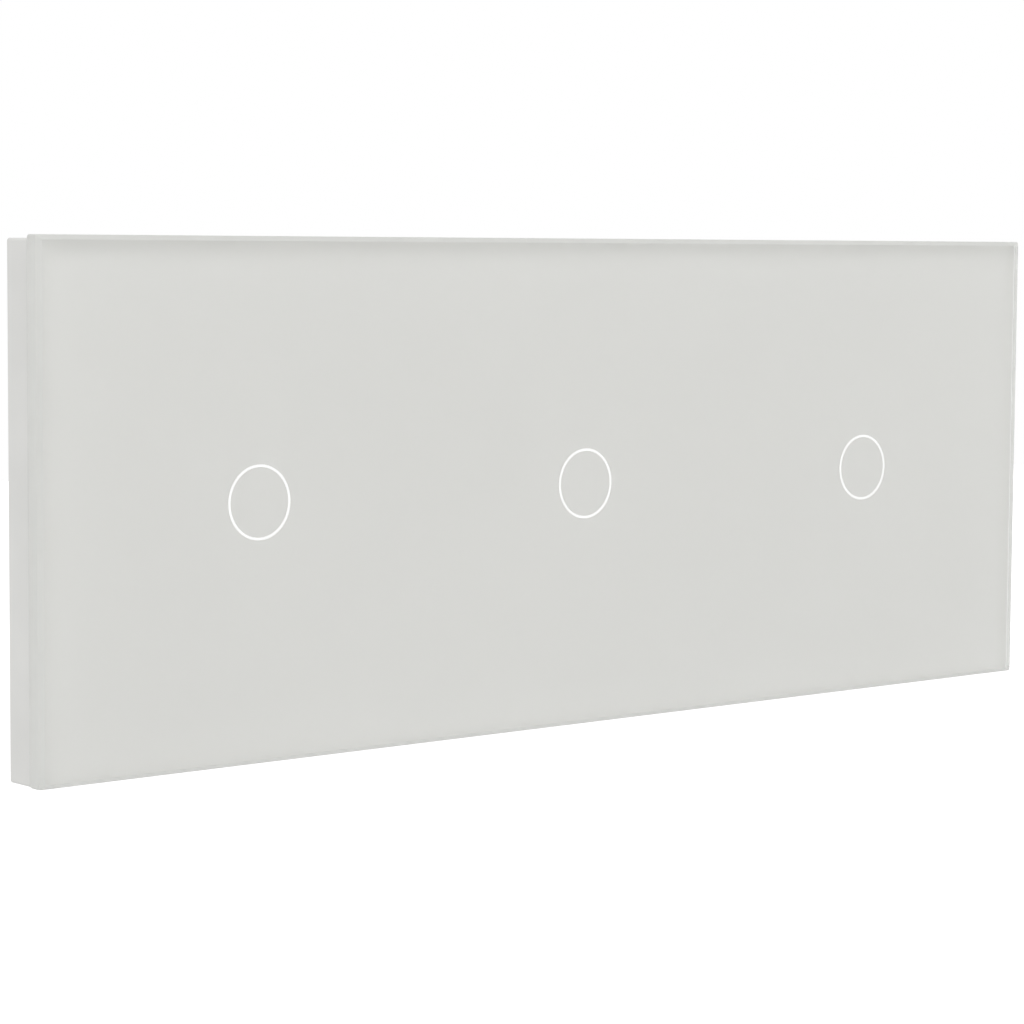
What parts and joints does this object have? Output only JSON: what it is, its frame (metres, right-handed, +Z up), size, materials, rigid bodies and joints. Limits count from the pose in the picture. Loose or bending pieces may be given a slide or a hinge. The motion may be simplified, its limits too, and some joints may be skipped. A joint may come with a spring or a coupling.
{
  "type": "light switch",
  "caption": "Touch light switch: a long white glass panel with three ring marks on a clip-on frame over three wall-box modules with relays.",
  "frame": {"origin": "on the wall plane, at the middle module's centre between its two box screws", "axes": "+X to the right along the panel as seen from the room, +Y into the wall, +Z up"},
  "size_m": [0.228, 0.0345, 0.086],
  "materials": {
    "plated_steel": "zinc-plated sheet steel",
    "cover_plastic": "white, fine-textured",
    "clear_plastic": "frosted clear plastic",
    "spring_metal": "tinned spring strip",
    "circuit_board": "green solder mask",
    "black_plastic": "moulded, black",
    "housing_plastic": "moulded, off-white",
    "capacitor_case": "potted box, dark red",
    "capacitor_can": "aluminium can in a dark sleeve",
    "winding": "enamelled copper wire",
    "soft_iron": "nickel-plated iron",
    "contact_metal": "brass with a bright contact",
    "relay_plastic": "blue, smooth",
    "panel_glass": "clear toughened glass, ground edges",
    "back_paint": "white screen print",
    "tape": "adhesive sheet",
    "frame_plastic": "white, fine-textured",
    "led": "small surface-mounted lamp",
    "screw_steel": "plated steel",
    "terminal_brass": "bright brass"
  },
  "bodies": {
    "modules": {"middle_mounting_plate": "plated_steel", "left_mounting_plate": "plated_steel", "right_mounting_plate": "plated_steel", "middle_sensor_cover": "cover_plastic", "left_sensor_cover": "cover_plastic", "right_sensor_cover": "cover_plastic", "middle_light_guide": "clear_plastic", "left_light_guide": "clear_plastic", "right_light_guide": "clear_plastic", "middle_touch_electrode": "spring_metal", "left_touch_electrode": "spring_metal", "right_touch_electrode": "spring_metal", "middle_touch_board": "circuit_board", "left_touch_board": "circuit_board", "right_touch_board": "circuit_board", "middle_touch_chip": "black_plastic", "left_touch_chip": "black_plastic", "right_touch_chip": "black_plastic", "middle_board_connector": "black_plastic", "left_board_connector": "black_plastic", "right_board_connector": "black_plastic", "middle_base_housing": "housing_plastic", "left_base_housing": "housing_plastic", "right_base_housing": "housing_plastic", "middle_power_board": "circuit_board", "left_power_board": "circuit_board", "right_power_board": "circuit_board", "middle_dropper_capacitor": "capacitor_case", "left_dropper_capacitor": "capacitor_case", "right_dropper_capacitor": "capacitor_case", "middle_smoothing_capacitor": "capacitor_can", "left_smoothing_capacitor": "capacitor_can", "right_smoothing_capacitor": "capacitor_can", "middle_relay_base": "black_plastic", "left_relay_base": "black_plastic", "right_relay_base": "black_plastic", "middle_relay_coil": "winding", "left_relay_coil": "winding", "right_relay_coil": "winding", "middle_relay_yoke": "soft_iron", "left_relay_yoke": "soft_iron", "right_relay_yoke": "soft_iron", "middle_relay_contact": "contact_metal", "left_relay_contact": "contact_metal", "right_relay_contact": "contact_metal", "middle_relay_cover": "relay_plastic", "left_relay_cover": "relay_plastic", "right_relay_cover": "relay_plastic", "indicator_leds": "led", "housing_screws": "screw_steel", "terminal_clamps": "terminal_brass", "terminal_screws": "screw_steel"},
    "front_panel": {"glass_panel": "panel_glass", "back_print": "back_paint", "bonding_tape": "tape", "panel_frame": "frame_plastic"},
    "left_relay_armature": {"left_relay_armature": "soft_iron"},
    "middle_relay_armature": {"middle_relay_armature": "soft_iron"},
    "right_relay_armature": {"right_relay_armature": "soft_iron"}
  },
  "joints": [
    {"name": "front_panel_pull", "type": "slide", "parent": "modules", "child": "front_panel", "axis": [0, -1, 0], "range_m": [0, 0.03]},
    {"name": "left_relay_hinge", "type": "hinge", "parent": "modules", "child": "left_relay_armature", "pos_m": [-0.081, 0.0167, 0.00385], "axis": [1, 0, 0], "range_deg": [0, 4.5], "stiffness_Nm_per_rad": 0.002, "springref_deg": -17.19},
    {"name": "middle_relay_hinge", "type": "hinge", "parent": "modules", "child": "middle_relay_armature", "pos_m": [-0.01, 0.0167, 0.00385], "axis": [1, 0, 0], "range_deg": [0, 4.5], "stiffness_Nm_per_rad": 0.002, "springref_deg": -17.19},
    {"name": "right_relay_hinge", "type": "hinge", "parent": "modules", "child": "right_relay_armature", "pos_m": [0.061, 0.0167, 0.00385], "axis": [1, 0, 0], "range_deg": [0, 4.5], "stiffness_Nm_per_rad": 0.002, "springref_deg": -17.19}
  ]
}
